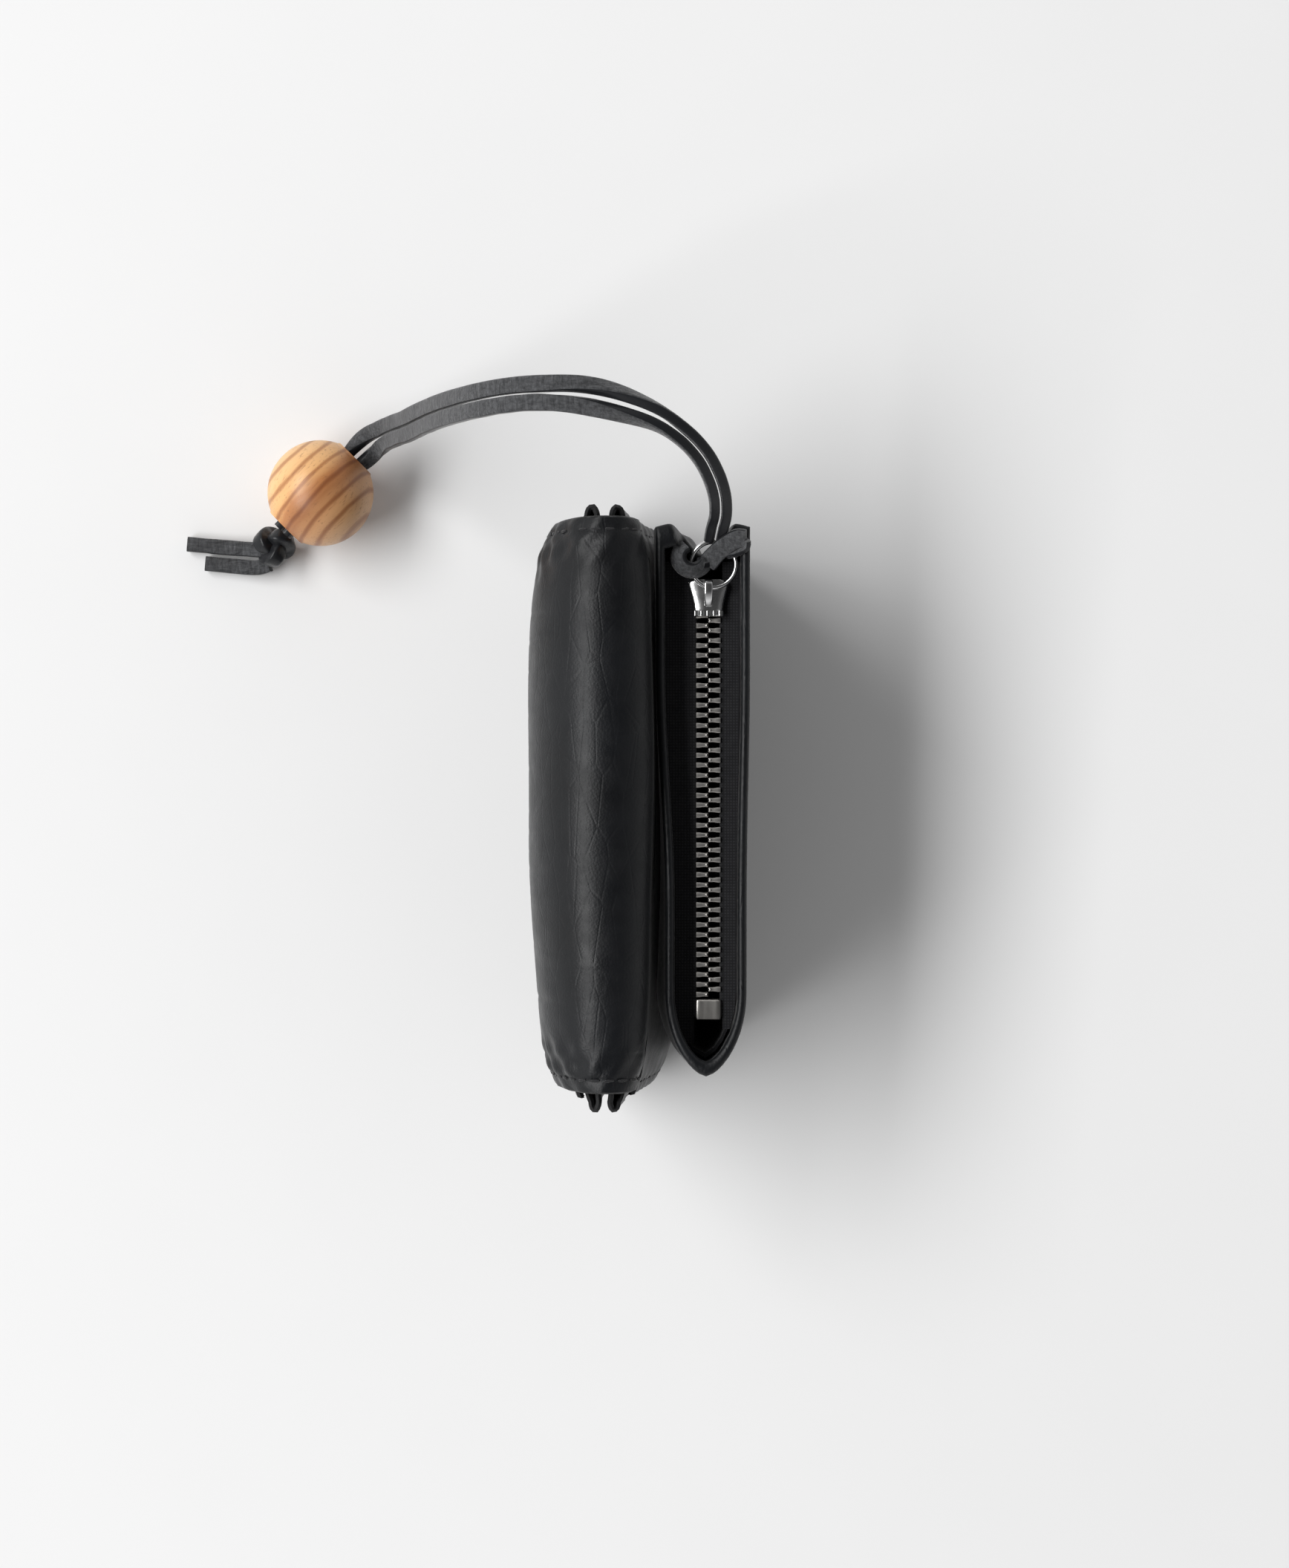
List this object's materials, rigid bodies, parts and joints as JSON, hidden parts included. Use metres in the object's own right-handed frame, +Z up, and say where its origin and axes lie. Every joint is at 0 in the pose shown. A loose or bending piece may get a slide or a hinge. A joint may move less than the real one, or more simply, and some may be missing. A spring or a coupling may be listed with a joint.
{
  "type": "coin purse",
  "caption": "Upright leather coin purse with a snap flap over bellows gussets, a zipped back pocket and a leather lace pull ending in a wooden bead.",
  "frame": {"origin": "under the middle of the purse, on the surface that it stands on", "axes": "+Z up, +Y along the purse towards the end where the closed zip's slider is, +X from the flap's front towards the zipped back pocket"},
  "size_m": [0.1258, 0.1499, 0.0842],
  "materials": {
    "hide": "black smooth nappa leather, satin",
    "lining_fabric": "black thin lining",
    "tape_fabric": "black woven zip tape",
    "zip_metal": "dark nickel, slightly brushed",
    "bright_metal": "polished nickel plate",
    "lace_leather": "black cut leather lace with fibrous edge",
    "bead_wood": "oiled two-tone wood with fine dark grain"
  },
  "bodies": {
    "purse_body": {"body_panel": "hide", "body_lining": "lining_fabric", "gusset_rear": "hide", "gusset_front": "hide", "pocket_shell": "hide", "pocket_lining": "lining_fabric", "zip_tape_left": "tape_fabric", "zip_tape_right": "tape_fabric", "zip_teeth_left": "zip_metal", "zip_teeth_right": "zip_metal", "zip_bottom_stop": "zip_metal", "zip_top_stop_left": "zip_metal", "zip_top_stop_right": "zip_metal", "snap_stud": "zip_metal", "snap_post": "zip_metal"},
    "flap_cover": {"flap": "hide", "flap_lining": "lining_fabric", "snap_socket": "zip_metal"},
    "zip_slider": {"slider_body": "bright_metal", "lace_leg_outer": "lace_leather", "lace_leg_inner": "lace_leather", "lace_tail_long": "lace_leather", "lace_tail_short": "lace_leather", "lace_knot": "lace_leather"},
    "ring": {"pull_ring": "bright_metal", "lace_hitch": "lace_leather"},
    "lace_bead": {"bead": "bead_wood"}
  },
  "joints": [
    {"name": "flap_hinge", "type": "hinge", "parent": "purse_body", "child": "flap_cover", "pos_m": [0.0032, 0, 0.067], "axis": [0, 1, 0], "range_deg": [0, 95]},
    {"name": "slider_travel", "type": "slide", "parent": "purse_body", "child": "zip_slider", "axis": [0, 1, 0], "range_m": [-0.079, 0], "deforming": ["zip_teeth_left", "zip_teeth_right", "lace_leg_outer", "lace_leg_inner"]},
    {"name": "ring_swing", "type": "hinge", "parent": "zip_slider", "child": "ring", "pos_m": [0.0147, 0.0461, 0.061], "axis": [1, 0, 0], "range_deg": [0, 60]},
    {"name": "bead_slide", "type": "slide", "parent": "zip_slider", "child": "lace_bead", "axis": [0.7071, 0.7071, 0], "range_m": [0, 0.004]}
  ]
}
